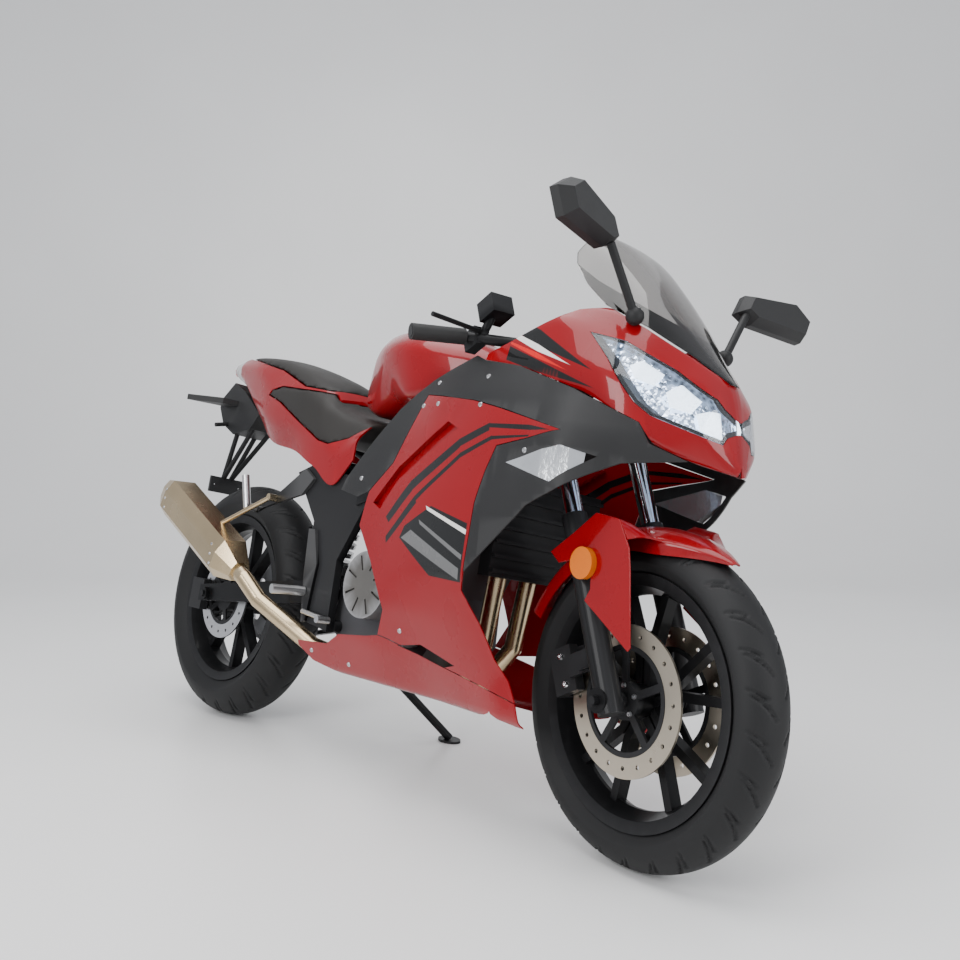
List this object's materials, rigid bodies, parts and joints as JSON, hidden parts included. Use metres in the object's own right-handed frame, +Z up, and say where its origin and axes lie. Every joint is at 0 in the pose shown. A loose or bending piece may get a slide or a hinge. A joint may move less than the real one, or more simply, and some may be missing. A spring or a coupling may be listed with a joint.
{
  "type": "sport motorcycle",
  "caption": "Faired sport motorcycle leaning on its side stand, with turning wheels, steering and folding stand.",
  "frame": {"origin": "centre of the footprint at the ground, under the machine's box", "axes": "+X forward, +Y to the machine's left, +Z up"},
  "size_m": [2.0042, 0.8002, 1.196],
  "materials": {
    "paint_red": "gloss",
    "plastic_black": "matte",
    "frame_black": "satin",
    "engine_grey": "cast",
    "steel": "brushed",
    "chrome": "polished",
    "bronze_steel": "brushed",
    "tyre": "matte",
    "rubber": "matte",
    "leather_black": "grained",
    "screen_smoke": "clear",
    "lens_clear": "clear",
    "lens_amber": "clear",
    "lens_red": "clear",
    "alloy": "satin"
  },
  "bodies": {
    "chassis": {"main_frame": "frame_black", "engine": "engine_grey", "engine_covers": "engine_grey", "radiator": "frame_black", "header_pipes": "bronze_steel", "muffler": "bronze_steel", "fuel_tank": "paint_red", "rider_seat": "leather_black", "passenger_seat": "leather_black", "tail_cowl": "paint_red", "tail_lamp": "lens_red", "plate_bracket": "plastic_black", "rear_indicators": "plastic_black", "nose_cowl": "paint_red", "windscreen": "screen_smoke", "dash": "plastic_black", "swingarm": "frame_black", "rear_shock": "steel", "drive_chain": "steel", "rear_caliper": "frame_black", "rider_footrests": "alloy", "passenger_footrests": "alloy", "side_fairing_right": "paint_red", "side_fairing_left": "paint_red", "side_panel_right": "plastic_black", "side_panel_left": "plastic_black", "lower_cowl_right": "paint_red", "lower_cowl_left": "paint_red", "front_indicators": "lens_clear", "headlamps": "lens_clear", "mirrors": "plastic_black"},
    "steering": {"fork_yokes": "frame_black", "grips": "rubber", "hand_controls": "frame_black", "fork_tubes": "chrome", "fork_sliders": "frame_black", "front_fender": "paint_red", "front_calipers": "frame_black", "fork_reflectors": "lens_amber"},
    "front_wheel": {"front_rim": "frame_black", "front_tyre": "tyre", "front_discs": "steel"},
    "rear_wheel": {"rear_rim": "frame_black", "rear_tyre": "tyre", "rear_disc": "steel", "rear_sprocket": "steel"},
    "side_stand": {"side_stand": "frame_black"}
  },
  "joints": [
    {"name": "steering", "type": "hinge", "parent": "chassis", "child": "steering", "pos_m": [0.45238, -0.06447, 0.77673], "axis": [-0.4076, 0.1868, 0.8938], "range_deg": [-23.5, 40.5]},
    {"name": "front_wheel_spin", "type": "hinge", "parent": "steering", "child": "front_wheel", "pos_m": [0.71154, -0.17122, 0.29072], "axis": [0.1352, 0.9804, -0.1433], "continuous": true},
    {"name": "rear_wheel_spin", "type": "hinge", "parent": "chassis", "child": "rear_wheel", "pos_m": [-0.68814, -0.16194, 0.30901], "axis": [0.0002, 0.9789, -0.2045], "continuous": true},
    {"name": "side_stand", "type": "hinge", "parent": "chassis", "child": "side_stand", "pos_m": [-0.14301, -0.08243, 0.18158], "axis": [0.051, 0.7795, 0.6243], "range_deg": [0, 90]}
  ]
}
